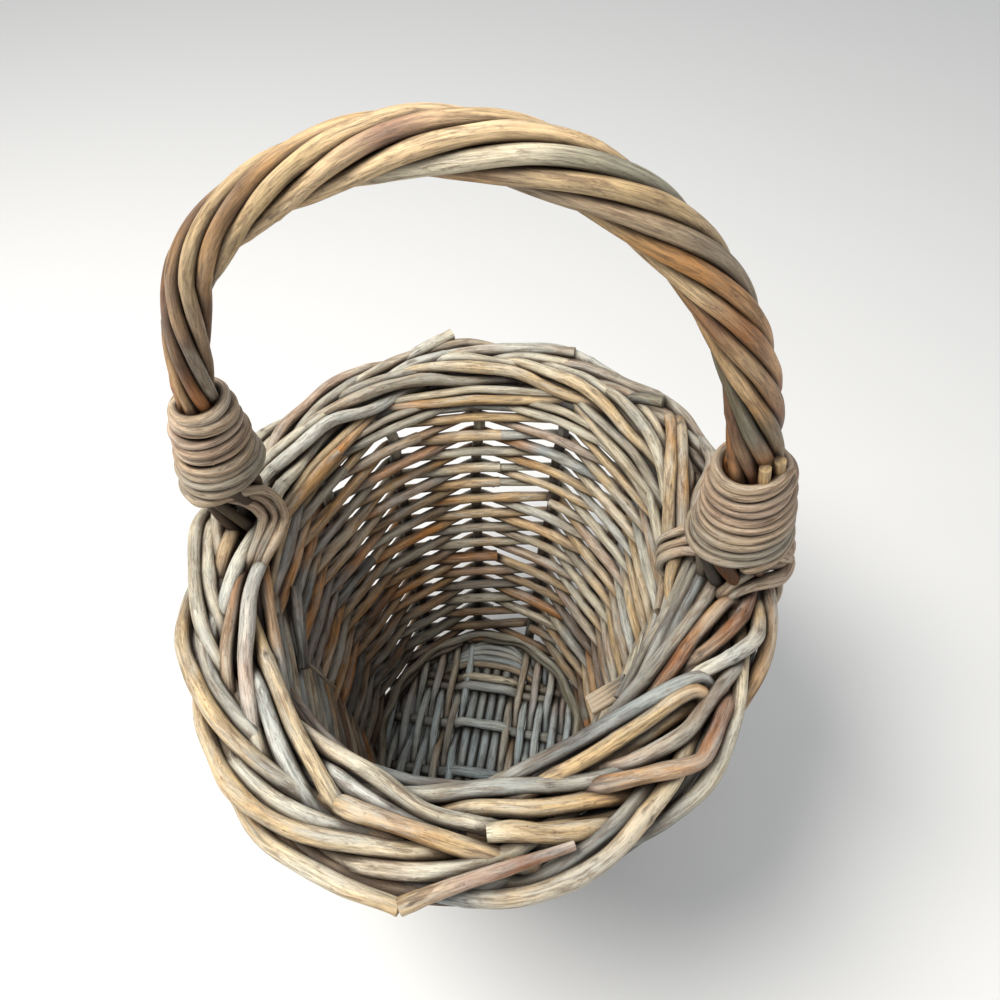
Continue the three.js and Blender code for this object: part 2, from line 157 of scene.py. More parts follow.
def makeRod(points, half, toneNames, seed, paintedShade=0.0, patch=0.5, knots=0, taper=0.0, wobble=0.04, pinch=0.0):
    # one rod: its middle line, half thickness, colours from end to end, its leaf scars and its painted shade
    dice = newDice(seed + 1000)
    along = lengthAlong(points)
    part = along / along[-1]
    colours = [tones[name] for name in toneNames.split()]
    shifted = np.clip(part + smoothNoise(seed + 5, 0.04, 60)(along), 0, 1)
    colour = sample(shifted, np.linspace(0, 1, len(colours)), colours)
    thick = half * (1 + taper * (0.5 - part)) * (1 + smoothNoise(seed + 7, wobble, 40)(along))
    scar = np.zeros_like(along)
    for _ in range(knots):
        place = dice.uniform(0.06, 0.94) * along[-1]
        near = np.exp(-((along - place) / 1.5) ** 2)
        thick = thick * (1 + 0.09 * near)
        scar = np.maximum(scar, near)
    thick = thick * (1 - pinch * np.exp(-(along / 3.0) ** 2))
    return {"points": points, "thick": thick, "tone": colour,
            "grade": np.stack([np.broadcast_to(paintedShade, along.shape), np.full_like(along, patch), scar], -1),
            "along": along + 37.0 * (seed % 97), "seed": np.full_like(along, (seed % 101) * 0.37)}


class Wire:
    # wraps a socket, so that sums of sockets read as sums
    def __init__(self, tree, socket):
        self.tree, self.socket = tree, socket

    def reckon(self, operation, other):
        kinds = [v.socket.type if isinstance(v, Wire) else "" for v in (self, other)]
        if "RGBA" in kinds:
            return self.tree.blend(operation, 1.0, self, other)
        if "VECTOR" in kinds:
            values = [v if isinstance(v, Wire) else (v, v, v) for v in (self, other)]
            return self.tree.add("ShaderNodeVectorMath", {"operation": operation}, dict(enumerate(values)))
        return self.tree.add("ShaderNodeMath", {"operation": operation}, {0: self, 1: other})

    def __add__(self, other):
        return self.reckon("ADD", other)

    def __sub__(self, other):
        return self.reckon("SUBTRACT", other)

    def __mul__(self, other):
        return self.reckon("MULTIPLY", other)


class Tree:
    def __init__(self, tree):
        self.tree = tree

    def add(self, kind, settings=None, sockets=None, out=0):
        node = self.tree.nodes.new(kind)
        for name, value in (settings or {}).items():
            setattr(node, name, value)
        for name, value in (sockets or {}).items():
            socket = node.inputs[name]
            if isinstance(value, Wire):
                self.tree.links.new(value.socket, socket)
            elif socket.type == "RGBA":
                socket.default_value = (*np.broadcast_to(value, 3).tolist(), 1)
            else:
                socket.default_value = value
        return Wire(self, node.outputs[out]) if len(node.outputs) else None

    def blend(self, mode, factor, first, second):
        return self.add("ShaderNodeMix", {"data_type": "RGBA", "blend_type": mode, "clamp_factor": True},
                        {0: factor, 6: first, 7: second}, out=2)

    def ramp(self, value, places):
        # greys at places between 0 and 1
        wire = self.add("ShaderNodeValToRGB", {}, {"Fac": value})
        stops = wire.socket.node.color_ramp.elements
        while len(stops) < len(places):
            stops.new(0.5)
        for stop, (place, shade) in zip(stops, places):
            stop.position = place
            stop.color = (shade, shade, shade, 1)
        return wire


def willowMaterial(name, finish):
    # peeled and weathered willow: streaks along the rod, stains, scars and fine grain, with painted shade low
    # down, under other rods and in the creases
    material = bpy.data.materials.new(name)
    material.use_nodes = True
    material.node_tree.nodes.clear()
    tree = Tree(material.node_tree)

    def given(name, out):
        return tree.add("ShaderNodeAttribute", {"attribute_name": name}, out=out)

    def noise(across, lengthwise, scale, detail, rough, warp=0.0):
        # drawn out along the rod, and different on each rod
        moved = tree.add("ShaderNodeCombineXYZ", {}, {
            "X": seed * 3.1, "Y": seed * 1.7, "Z": along * lengthwise})
        return tree.add("ShaderNodeTexNoise", {}, {
            "Vector": ring * across + moved, "Scale": scale, "Detail": detail, "Roughness": rough,
            "Distortion": warp})

    tone, ring, grade = given("tone", 0), given("ring", 1), given("grade", 1)
    along, seed, crease = given("along", 2), given("seed", 2), given("crease", 2)
    paintedShade, patch, scar = [tree.add("ShaderNodeSeparateXYZ", {}, {0: grade}, out=i) for i in range(3)]
    streaks = noise(1.7, 0.03, 2.2, 5.0, 0.7)
    broad = noise(0.5, 0.03, 1.0, 3.0, 0.6, 0.4)
    grey = noise(0.7, 0.022, 1.3, 4.0, 0.65, 0.5)
    stain = noise(1.1, 0.055, 1.5, 5.0, 0.7, 0.7)
    soot = noise(0.7, 0.026, 1.7, 5.0, 0.7, 0.6)
    speck = noise(2.0, 0.26, 1.6, 3.0, 0.6)
    grain = noise(5.0, 0.12, 3.0, 2.0, 0.6)
    shade = tree.ramp(streaks, [(0.33, 0.42), (0.47, 0.86), (0.56, 1.04), (0.68, 1.30)])
    colour = tone * shade
    # each layer starts and is full at these values of its noise
    for where, start, full, amount, mode, shade in (
            (broad, 0.46, 0.66, finish["pale"], "MIX", tones[finish["paleTone"]]),
            (grey, 0.50, 0.66, finish["grey"], "MIX", tones["steel"]),
            (soot, 0.52, 0.62, finish["soot"], "MULTIPLY", finish["sootTone"]),
            (stain, 0.52, 0.61, patch * finish["stain"], "MIX", tones[finish["stainTone"]] * 0.8),
            (speck, 0.66, 0.71, patch * finish["speck"], "MIX", tones["dark"] * 0.7)):
        there = tree.ramp(where, [(start, 0.0), (full, 1.0)])
        colour = tree.blend(mode, there * amount, colour, shade)
    ringed = scar * tree.ramp(stain, [(0.44, 0.0), (0.60, 0.75)])
    colour = tree.blend("MIX", ringed, colour, tones["dark"])
    fine = tree.ramp(grain, [(0.35, 0.80), (0.65, 1.10)])
    colour = tree.blend("MULTIPLY", finish["grain"], colour, fine)
    # painted shade: a rod darkens by its shade amount, low down and under other rods
    colour = tree.blend("MIX", paintedShade, colour, colour * finish["paintedShadeTone"])
    # painted shade in the creases between rods, varied by the streaks
    creaseShadingMask = tree.add("ShaderNodeMath", {"operation": "MINIMUM"}, {
        0: crease * (streaks * 1.3 + 0.42), 1: 1.0})
    colour = tree.blend("MIX", creaseShadingMask * finish["creaseShading"], colour, colour * finish["creaseShadingTone"])
    rough = tree.ramp(streaks, [(0.3, finish["rough"] + 0.16), (0.7, finish["rough"])])
    height = streaks * 0.5 + grain * 0.35 + stain * 0.25
    normal = tree.add("ShaderNodeBump", {}, {
        "Strength": finish["bump"], "Distance": 0.0006, "Height": height})
    shader = tree.add("ShaderNodeBsdfPrincipled", {}, {
        "Base Color": colour, "Roughness": rough, "Normal": normal, "Specular IOR Level": 0.42})
    tree.add("ShaderNodeOutputMaterial", {}, {"Surface": shader})
    return material


# the finish of the plain rods; the other two below change some of it
# in this finish the tone for rods low down or under others, and the amount and tone for the creases, are
# painted shade
plainFinish = {"pale": 0.42, "paleTone": "bleached", "grey": 0.45, "stain": 0.7, "stainTone": "brown",
               "speck": 0.75, "grain": 0.6, "paintedShadeTone": (0.36, 0.34, 0.32), "rough": 0.50, "bump": 0.9,
               "soot": 0.75, "sootTone": (0.46, 0.45, 0.43), "creaseShading": 0.95, "creaseShadingTone": (0.14, 0.11, 0.09)}


def sweepTree():
    # rods grow from their middle lines: a round section follows each line and takes its thickness
    group = bpy.data.node_groups.new("rodSweep", "GeometryNodeTree")
    sockets = {}
    for name, kind in (("Lines", "Geometry"), ("Sides", "Int"), ("Bark", "Float"), ("Finish", "Material")):
        socket = group.interface.new_socket(name, in_out="INPUT", socket_type="NodeSocket" + kind)
        sockets[name] = socket.identifier
    group.interface.new_socket("Rods", in_out="OUTPUT", socket_type="NodeSocketGeometry")
    tree = Tree(group)
    inside = group.nodes.new("NodeGroupInput")
    given = {name: Wire(tree, inside.outputs[name]) for name in sockets}

    def stored(name, kind="FLOAT"):
        return tree.add("GeometryNodeInputNamedAttribute", {"data_type": kind}, {"Name": name})

    line = tree.add("GeometryNodeMeshToCurve", {}, {"Mesh": given["Lines"]})
    circle = tree.add("GeometryNodeCurvePrimitiveCircle", {"mode": "RADIUS"},
                      {"Resolution": given["Sides"], "Radius": 1.0})
    circle = tree.add("GeometryNodeStoreNamedAttribute", {"data_type": "FLOAT_VECTOR", "domain": "POINT"},
                      {"Geometry": circle, "Name": "ring", "Value": tree.add("GeometryNodeInputPosition")})
    thick, along = stored("thick"), stored("along")
    rods = tree.add("GeometryNodeCurveToMesh", {}, {
        "Curve": line, "Profile Curve": circle, "Scale": thick, "Fill Caps": True})
    lengthwise = tree.add("ShaderNodeCombineXYZ", {}, {"X": along * 0.013, "Z": along * 0.09})
    where = stored("ring", "FLOAT_VECTOR") * 0.8 + lengthwise
    bumps = tree.add("ShaderNodeTexNoise", {}, {"Vector": where, "Scale": 1.0, "Detail": 2.0})
    normal = tree.add("GeometryNodeInputNormal")
    push = normal * ((bumps - 0.5) * given["Bark"] * thick * 2.0)
    rods = tree.add("GeometryNodeSetPosition", {}, {"Geometry": rods, "Offset": push})
    corners = tree.add("GeometryNodeInputMeshFaceNeighbors")
    onSide = tree.add("FunctionNodeCompare", {"data_type": "INT", "operation": "LESS_THAN"},
                      {2: corners, 3: 5})
    rods = tree.add("GeometryNodeSetShadeSmooth", {}, {"Geometry": rods, "Shade Smooth": onSide})
    rods = tree.add("GeometryNodeRealizeInstances", {}, {"Geometry": rods})
    rods = tree.add("GeometryNodeSetMaterial", {}, {"Geometry": rods, "Material": given["Finish"]})
    outside = group.nodes.new("NodeGroupOutput")
    group.links.new(rods.socket, outside.inputs[0])
    return group, sockets


rodGroup, rodSockets = sweepTree()


# painted shade in the creases: sizes in millimetres, and how full the room is where it starts and where it is
# darkest
creaseShading = {"cell": 1.7, "margin": 12, "step": 1.3, "blurs": 3, "reach": 2.4, "clear": 0.18, "full": 0.46}


class Crowd:
    # how full of rods the room is round a place, so that painted shade can darken the creases
    def __init__(self, rods):
        points, radii = [], []
        for rod in rods:
            points.append(evenly(rod["points"], creaseShading["step"]))
            there = lengthAlong(rod["points"])
            radii.append(np.interp(np.linspace(0, there[-1], len(points[-1])), there, rod["thick"]))
        points, radii = np.vstack(points), np.concatenate(radii)
        cell = creaseShading["cell"]
        self.low = points.min(0) - creaseShading["margin"]
        shape = np.ceil((points.max(0) + creaseShading["margin"] - self.low) / cell).astype(int) + 1
        full = np.zeros(shape, np.float32)
        home = np.rint((points - self.low) / cell).astype(int)
        for step in np.ndindex(7, 7, 7):
            where = home + np.array(step) - 3
            inside = np.linalg.norm(where * cell + self.low - points, axis=1) < radii
            full[tuple(where[inside].T)] = 1
        for _ in range(creaseShading["blurs"]):
            for axis in range(3):
                full = (np.roll(full, 1, axis) + full + np.roll(full, -1, axis)) / 3
        self.full = full

    def at(self, places):
        where = np.clip((places - self.low) / creaseShading["cell"], 0, np.array(self.full.shape) - 2)
        base = where.astype(int)
        part = where - base
        total = np.zeros(len(places))
        for corner in np.ndindex(2, 2, 2):
            weight = np.prod(np.where(np.array(corner) == 1, part, 1 - part), axis=1)
            total += weight * self.full[tuple((base + corner).T)]
        return total


# painted shade: each vertex darkens where other rods crowd just outside it
def addCreaseShade(mesh, crowd):
    co, normal = np.empty((2, len(mesh.vertices) * 3), np.float32)
    mesh.vertices.foreach_get("co", co)
    mesh.vertex_normals.foreach_get("vector", normal)
    outside = co.reshape(-1, 3) * 1000 - middle + normal.reshape(-1, 3) * creaseShading["reach"]
    crease = np.clip((crowd.at(outside) - creaseShading["clear"]) / (creaseShading["full"] - creaseShading["clear"]), 0, 1)
    mesh.attributes.new("crease", "FLOAT", "POINT").data.foreach_set("value", crease.astype(np.float32))


def newObject(name, data):
    thing = bpy.data.objects.new(name, data)
    bpy.context.scene.collection.objects.link(thing)
    return thing


def growRods(crowd, name, rods, material, slotName, replaced, sides, bark):
    # all the rods of one piece: lines first, then the tree, then a plain mesh
    starts = np.cumsum([0] + [len(r["points"]) for r in rods])
    edges = np.vstack([np.stack([np.arange(first, last - 1), np.arange(first + 1, last)], -1)
                       for first, last in zip(starts, starts[1:])])
    points = (np.vstack([r["points"] for r in rods]) + middle) * 0.001
    lines = bpy.data.meshes.new(name + "Lines")
    lines.from_pydata(points.tolist(), edges.tolist(), [])
    for key in ("thick", "along", "seed", "tone", "grade"):
        values = np.concatenate([r[key] for r in rods]).astype(np.float32)
        if key == "thick":
            values *= 0.001
        kind, field = ("FLOAT", "value") if values.ndim == 1 else ("FLOAT_VECTOR", "vector")
        lines.attributes.new(key, kind, "POINT").data.foreach_set(field, values.ravel())
    holder = newObject(name + "Holder", lines)
    modifier = holder.modifiers.new("rods", "NODES")
    modifier.node_group = rodGroup
    modifier[rodSockets["Sides"]] = sides
    modifier[rodSockets["Bark"]] = bark
    modifier[rodSockets["Finish"]] = material
    graph = bpy.context.evaluated_depsgraph_get()
    mesh = bpy.data.meshes.new_from_object(
        holder.evaluated_get(graph), preserve_all_data_layers=True, depsgraph=graph)
    mesh.name = name
    holder.modifiers.remove(modifier)
    bpy.data.objects.remove(holder)
    bpy.data.meshes.remove(lines)
    piece = newObject(name, mesh)
    addCreaseShade(mesh, crowd)
    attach(piece, "root")
    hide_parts(*replaced)
    triangles = sum(len(p.vertices) - 2 for p in mesh.polygons)
    print(name, "rods", len(rods), "triangles", triangles)


def pick(names, seed, count=3):
    dice = newDice(seed + 300)
    names = names.split()
    return " ".join(names[i] for i in dice.integers(0, len(names), count))


# the plaited border: five strands of two rods, over two and under two, laid almost flat
plait = {"lane": 3.35, "flat": 2.4, "layer": 4.1, "half": 3.28, "hookedHalf": 3.15, "early": 0.22,
         "wobble": 0.55, "step": 2.6, "start": -0.1, "end": 5.05, "lead": 0.5, "rest": 2.1, "legPush": 2.8,
         "legWide": 20.0, "cracked": (2, 3.1), "cut": (0.95, 2.85), "splitRod": 3,
         "splitTaper": 0.62, "shortFrom": 2, "shortTo": 10}
# width of the border round the basket: share of its length, middle and half width
borderWidths = [
    (0.05, -0.5, 20.5), (0.10, 1.5, 17.5), (0.17, 1.0, 15.0), (0.25, 1.0, 15.0), (0.33, 2.5, 15.0),
    (0.40, 3.5, 14.5), (0.46, 3.5, 15.5), (0.52, 1.0, 17.0), (0.60, -0.5, 17.5), (0.65, -0.5, 20.0),
    (0.72, 2.0, 21.5), (0.80, 3.0, 22.5), (0.86, 3.0, 21.5), (0.93, 2.5, 20.5), (0.99, 0.0, 21.5)]
legPlaces = [(0.5, -4.0), (1.0, 4.0)]


def borderWidth(share):
    shares, middles, halves = np.array(borderWidths).T
    return [np.interp(share % 1, shares, v, period=1) for v in (middles, halves)]


def plaitAt(strand, place, lane, squash=0.0):
    # "place" counts stakes from where the strand comes up at the inner edge
    across = tau * (place - plait["rest"]) / 5
    layered = tau * (place - plait["rest"] + plait["early"] * lane * np.cos(across)) / 5
    share = stakeShare(strand) + (place + plait["lead"]) / stakes
    width = plait["lane"] * (1.04 - 0.10 * np.sin(across))
    centre, half = borderWidth(share)
    swing = half - plait["lane"] - plait["half"]
    out = centre + swing * (np.sin(across) - 0.05 * np.sin(3 * across)) + lane * width
    layer = np.tanh(plait["flat"] * np.sin(2 * layered)) / math.tanh(plait["flat"])
    up = -plait["layer"] * layer * (1 - squash) + 0.9 * lane * np.sin(across)
    for legShare, legOut in legPlaces:
        # the plait makes room for the feet of the handle
        away = (share - legShare - np.round(share - legShare)) * borderLength
        aside = np.tanh((out - legOut) / 2.2) * np.exp(-(away / plait["legWide"]) ** 2)
        out = out + plait["legPush"] * aside
    return onBorder(share, out, up)


def wandered(points, seed, size):
    # no rod is quite true
    along = lengthAlong(points)
    points = points.copy()
    for axis, scale in ((0, 1), (1, 1), (2, 0.6)):
        points[:, axis] += smoothNoise(seed + axis * 11, size * scale, 60)(along)
    return points


# colours of the strands in turn, first the rod on the inner side, then its neighbour, then the short one
strandTones = [
    ("cream chalk cream clay chalk", "tan cream clay honey clay", "cream"),
    ("clay cream chalk cream chalk", "cream tan honey honey cream", "tan"),
    ("clay chalk pink cream clay", "brown rust tan honey amber", "chalk"),
    ("honey honey cream ash clay", "steel chalk steel honey cream", "cream"),
    ("pink cream clay chalk tan", "chalk chalk ash cream honey", "honey"),
    ("chalk clay steel ash clay", "cream honey amber tan clay", "honey"),
    ("ash steel clay ash tan", "cream honey honey clay tan", "pink"),
    ("clay ash clay tan clay", "tan amber rust clay pink", "tan"),
    ("tan honey amber cream chalk", "honey tan cream chalk tan", "clay"),
    ("honey cream clay chalk cream", "chalk cream honey tan cream", "cream"),
    ("cream honey cream clay chalk", "chalk cream cream pink tan", "chalk"),
    ("tan honey cream cream clay", "clay cream chalk cream tan", "tan"),
    ("ash clay tan cream clay", "moss clay cream clay cream", "clay"),
]
borderRods = []
for k, (_, second, third) in enumerate(strandTones):
    seed = 400 + k * 3
    end = plait["cracked"][1] if k == plait["cracked"][0] else plait["end"]
    line = evenly(plaitAt(k, np.linspace(plait["start"] + 0.1, end, 140), 1), plait["step"])
    half = plait["half"] * newDice(seed + 77).uniform(0.88, 1.10)
    borderRods.append(makeRod(wandered(line, seed, plait["wobble"]), half, second, seed, patch=0.75, knots=3))
    if not plait["shortFrom"] <= (k + 1) % stakes <= plait["shortTo"]:
        continue
    # a short third rod that ends in the open
    lanes = np.interp(np.arange(60), [0, 28, 59], [3.0, 3.0, -0.6])
    line = evenly(plaitAt(k, np.linspace(*plait["cut"], 60), lanes, 0.25), plait["step"])
    line[:, 2] += np.interp(np.linspace(0, 1, len(line)), [0, 0.3, 0.6, 1], [-0.5, 0.6, -2.0, -7.0])
    borderRods.append(makeRod(wandered(line, 760 + k, 0.4), plait["half"] * 1.02, f"{third} {third} clay",
                              700 + k * 3, patch=0.7, knots=1, pinch=0.12))


def onBorderLine(places):
    # each place is in millimetres along the border from the left leg, out from its middle and up
    return np.array([onBorder(0.5 + arc / borderLength, out, up) for arc, out, up in places])


# hooked rods at the right, where the last strands were tucked away: colours and places
hooked = [
    ("clay ash clay", [(300, -19, -6), (316, -20, 2), (343, -20, 5), (375, -14, 5), (392, -9, 1)]),
    ("ash clay clay", [(296, -11, -5), (310, -12, 3), (337, -13, 6), (373, -9, 6), (390, -3, 2)]),
    ("ash clay brown", [(284, -20, 0), (308, -19, 6), (333, -16, 8), (358, -9, 9), (374, -3, 9.5),
     (376, 3, 7), (372, 8, 0)]),
    ("tan rust amber rust", [(300, -14, 1), (318, -12, 6), (341, -8.5, 8.5), (360, -1, 10), (365, 4, 8),
     (361, 9, 1)]),
    ("clay ash steel ash", [(216, -17, -2), (240, -19.5, 5), (271, -18, 9), (297, -12.5, 11),
     (319, -2.5, 12), (323, 3, 9), (319, 8, 2)]),
    ("tan honey honey amber", [(222, -9, -2), (243, -12.5, 4), (265, -11.5, 8), (290, -8, 10.5),
     (312, -2, 11.5), (317, 4, 9), (313, 9, 1)]),
    ("brown rust tan", [(384, 12, -1), (374, 11, 6), (358, 8, 10.5), (345, 2.5, 11), (335, -3, 8),
     (328, -8, 2)]),
    ("cream honey chalk cream", [(380, 15, -3), (366, 14.5, 5), (350, 15, 10), (337, 8.5, 12.5),
     (326, 0.5, 11), (320, -4, 5)]),
    ("clay brown clay pink", [(342, 12, 2), (330, 9.5, 8.5), (312, 7, 10), (298, 6, 10), (279, 0, 8),
     (268, -7, 2)]),
    ("pink rust amber rust", [(326, 12.5, 2), (315, 13.5, 8), (301, 16, 10.5), (292, 16.5, 11.5),
     (279, 8.5, 11), (266, 1, 8), (258, -5, 1)]),
]

# single rods that lie over the plait, in the same way: half thickness, colours and places. Cut ends at the
# front, both parts of the cracked rod, upright rods at the right, stubs at the back and grey ones inside
loose = [
    (3.7, "honey amber honey tan", [(163, -1, 5), (170, 0, 8.5), (187, 0.5, 8.5), (211, 6, 5.5),
     (232, 14, -2)]),
    (3.6, "cream honey honey tan", [(217, 2, 8), (226, 3, 8.5), (240, 8, 7.5), (252, 10, 3.5),
     (262, 12, -4)]),
    (3.2, "tan honey cream honey", [(110, 10, -5), (127, 16.3, -1), (146, 21.6, 0.5), (171, 22.6, 1.5),
     (189, 24.6, 2), (191.5, 25.4, 2)]),
    (2.6, "honey pink rust pink", [(191.5, 25.0, 2.2), (194, 23.6, 3), (205, 18.6, 6), (222, 15.0, 8.6),
     (243, 14.6, 10)]),
    (3.1, "tan amber honey clay", [(494, 12, -4), (484, 8, 3), (471, 0.6, 8), (438, -16.3, 10),
     (408, -23, 7), (394, -24, 1)]),
    (3.1, "amber honey amber clay", [(488, 15, -4), (479, 11.4, 3), (467, 3.4, 8), (437, -10.5, 10),
     (408, -17, 7.5), (393, -18, 2)]),
    (3.0, "clay tan clay", [(466, 14, 0), (458, 11, 6), (443, 7, 9), (424, -7, 8.5), (407, -12, 7),
     (394, -12, 4)]),
    (3.2, "chalk cream", [(-128, 9, 2), (-143, 12, 6), (-158, 17, 9)]),
    (3.0, "chalk tan", [(574, 8, 1), (560, 9, 6), (543, 11, 8)]),
    (3.2, "ash moss", [(509, 2, -2), (500, 4, 5), (488, 9, 9)]),
    (2.9, "ash clay clay", [(303, -24, -5), (330, -24.5, 1), (360, -20.5, 4), (388, -15, 3)]),
    (2.9, "clay ash steel", [(306, -15.5, 0), (335, -17, 6.5), (368, -12, 7.5), (388, -6, 5)]),
    (2.4, "steel clay ash", [(312, -20.5, -4), (335, -21, 3), (365, -16.5, 5.5), (386, -10.5, 4)]),
    (3.1, "clay tan chalk", [(134, 11, -6), (150, 14.6, -4), (161, 17.2, -3.4), (173, 18.0, -3),
     (186, 18.2, -3), (199, 17.6, -3), (214, 17, -3.5), (232, 12, -6)]),
]
# dark rods low down close the bottom of the plait, with painted shade under it
under = {"half": 3.1, "up": -8.2, "outs": (-16.5, -11, -5.5, 0, 5.5, 9.5, 12.5), "fullHalf": 19}
for i, out in enumerate(under["outs"]):
    share = np.linspace(0, 0.995, 260) + i * 0.3
    centre, half = borderWidth(share)
    up = under["up"] + 0.8 * np.sin(tau * share * 13 + i * 2)
    line = onBorder(share, centre + out * half / under["fullHalf"], up)
    borderRods.append(makeRod(evenly(line, 2.6), under["half"], pick("ash ash brown", 51 + i, 7),
                              840 + i, paintedShade=0.55, patch=0.8))
for i, (half, names, places) in enumerate(loose):
    # the far part of the cracked rod thins out where it split
    taper = plait["splitTaper"] if i == plait["splitRod"] else 0
    borderRods.append(makeRod(curved(onBorderLine(places), 2.2), half, names, 860 + i * 5,
                              patch=0.8, knots=1, taper=taper))
for i, (names, places) in enumerate(hooked):
    borderRods.append(makeRod(curved(onBorderLine(places), 2.4), plait["hookedHalf"], names, 820 + i * 5,
                              patch=0.7, knots=2))

# stakes, up through the wall and into the border
stakeRods = []
plaitUnder = rodStep * 1.22 + basket["borderThick"] / 2 + basket["clearance"]
stakeTop = rimLevel - plaitUnder - 3.5
for k in range(stakes):
    levels = np.linspace(basket["footThick"] + basket["clearance"], stakeTop, 8)
    upright = wallAt(stakeShare(k), levels)
    run = plaitAt(k, np.linspace(plait["start"], plait["end"], 36), -1)
    points = wandered(curved(np.vstack([upright, run]), plait["step"]), 880 + k, 0.45)
    # painted shade: the stakes darken towards the bottom of the wall
    paintedShade = np.clip(1.10 - (points[:, 2] - 20) / 150, 0, 1)
    halves = [basket["stakeThick"] / 2 * 1.03, plait["half"]]
    swell = np.interp(points[:, 2], [rimLevel - 22, rimLevel - 4], halves)
    names = "ash brown " + strandTones[k][0]
    stakeRods.append(makeRod(points, 1.0, names, 900 + k * 3, paintedShade=paintedShade, patch=0.75, knots=4))
    stakeRods[-1]["thick"] *= swell

# woven wall: every weaver passes inside one stake and outside the next
weave = {"rows": 27, "bands": 3, "extra": 2.6, "half": 2.95, "taper": 0.34, "swing": 5.6, "sway": 0.9,
         "step": 12, "bend": 3, "lift": 165, "inside": 15.4}
# colours by place round the wall, from the right through the back and left to the front
weaveTones = [
    (0.10, "honey cream tan gold honey"),
    (0.20, "cream chalk honey cream pink steel"),
    (0.31, "cream chalk gold clay honey cream"),
    (0.43, "tan orange amber pink clay tan"),
    (0.60, "brown orange clay ash amber amber"),
    (0.93, "ash clay brown clay steel"),
    (1.01, "honey cream clay honey"),
]
darkTones = "clay ash orange brown moss tan amber"
upsettFoot = wallFoot + basket["upsettThick"] / 2 + 2.6
upsettPitch = basket["upsettThick"] + basket["clearance"]
upsettTop = upsettFoot + basket["upsettRows"] * upsettPitch
weaveFoot = upsettTop + (basket["weaverThick"] - basket["upsettThick"]) / 2 + basket["clearance"]
weaveTop = stakeTop - 1.6
weavePitch = (weaveTop - weaveFoot) / weave["rows"]
rowSway = smoothNoise(61, 1.0, 6.0)
rowSwell = smoothNoise(62, 1.0, 7.5)


def wallTone(share, height, dice):
    palette = next(names for edge, names in weaveTones if share % 1 <= edge)
    if dice.uniform() > 0.25 + height * 1.6:
        palette = darkTones
    palette = palette.split()
    return palette[dice.integers(len(palette))]


def innerEdge(share):
    centre, half = borderWidth(share)
    return centre - half


def weaver(marks, level, out, places, half, names, seed, paintedShade):
    # a weaver is straight between two stakes and bends where it presses on them
    corners = wallAt(stakeShare(marks), level, out)
    line = evenly(sample(places, marks, corners), 2.0)
    reach = weave["bend"]
    padded = np.pad(line, ((reach, reach), (0, 0)), "edge")
    kernel = np.hanning(2 * reach + 3)[1:-1]
    line = np.stack([np.convolve(values, kernel / kernel.sum(), "valid") for values in padded.T], -1)
    dice = newDice(seed + 50)
    # painted shade: darker towards the bottom of the wall, plus the amount given for the row
    lowShade = np.clip(0.95 - (line[:, 2] - 15) / 110, 0, 1) * 0.6 + paintedShade
    return makeRod(line, half * dice.uniform(0.90, 1.05), names, seed, paintedShade=lowShade, patch=0.6, knots=1,
                   taper=weave["taper"] * dice.uniform(0.3, 1.0))


def weaveRods(first, last, foot, pitch, half, seed, dark=0.0):
    rods = []
    dice = newDice(seed)
    place = first
    while place < last - 2:
        span = int(dice.integers(13, 22))
        end = min(place + span + 0.34, last - 1.0)
        marks = np.arange(math.floor(place) - 1, math.ceil(end) + 2)
        level = foot + pitch * (marks - first) / stakes
        height = np.clip((level - wallFoot) / (rimLevel - wallFoot), 0, 1)
        sway = rowSway(marks % stakes * tau / stakes * 2) * np.sin(height * math.pi) ** 0.7
        level = level + weave["sway"] * sway + smoothNoise(seed + len(rods) * 7, 0.35, 3.0)(marks)
        side = np.where(marks % 2 == 0, -1, 1)
        out = side * (weave["swing"] + half - weave["half"]) + 0.3 * rowSwell(marks % stakes)
        # the top rows follow the border outwards
        lift = np.clip((level - weave["lift"]) / 22, 0, 1)
        out = out + lift * np.maximum(innerEdge(stakeShare(marks)) + weave["inside"], 0)
        run = np.linspace(place - 0.30, end, int((end - place) * weave["step"]))
        along = np.linspace(place, end, max(span // 2, 4))
        names = " ".join(wallTone(stakeShare(p), np.interp(p, marks, height), dice) for p in along)
        rods.append(weaver(marks, level, out, run, half, names, seed + len(rods) * 5, dark))
        place = place + span
    return rods


wallRods = []
rounds = weave["rows"] // weave["bands"]
for band in range(weave["bands"]):
    start = (basket["upsettRows"] + band * rounds) * stakes
    more = weave["extra"] if band == weave["bands"] - 1 else 0
    wallRods.append(weaveRods(start, start + (rounds + more) * stakes, weaveFoot + band * rounds * weavePitch,
                              weavePitch, weave["half"], 2000 + band * 100))
# the highest rows, under the back of the border, with a little painted shade
topRows = {"count": 3, "level": 181.5, "pitch": 4.6, "half": 2.6, "swing": 4.2, "out": 16.6}
for i in range(topRows["count"]):
    marks = np.arange(-5, 6)
    level = np.full(len(marks), topRows["level"] + topRows["pitch"] * i)
    side = np.where((marks + i) % 2 == 0, -1, 1)
    out = side * topRows["swing"] + innerEdge(stakeShare(marks)) + topRows["out"] + 0.6 * i
    run = np.linspace(-3.9 + 0.3 * i, 3.7 - 0.2 * i, 90)
    names = pick("cream chalk tan clay honey", 88 + i, 5)
    wallRods[-1].append(weaver(marks, level, out, run, topRows["half"], names, 2400 + i, 0.05))
# the upsett rows at the foot of the wall carry a little painted shade
upsettRods = weaveRods(0, basket["upsettRows"] * stakes, upsettFoot, upsettPitch,
                       basket["upsettThick"] / 2 + 0.15, 2900, 0.2)
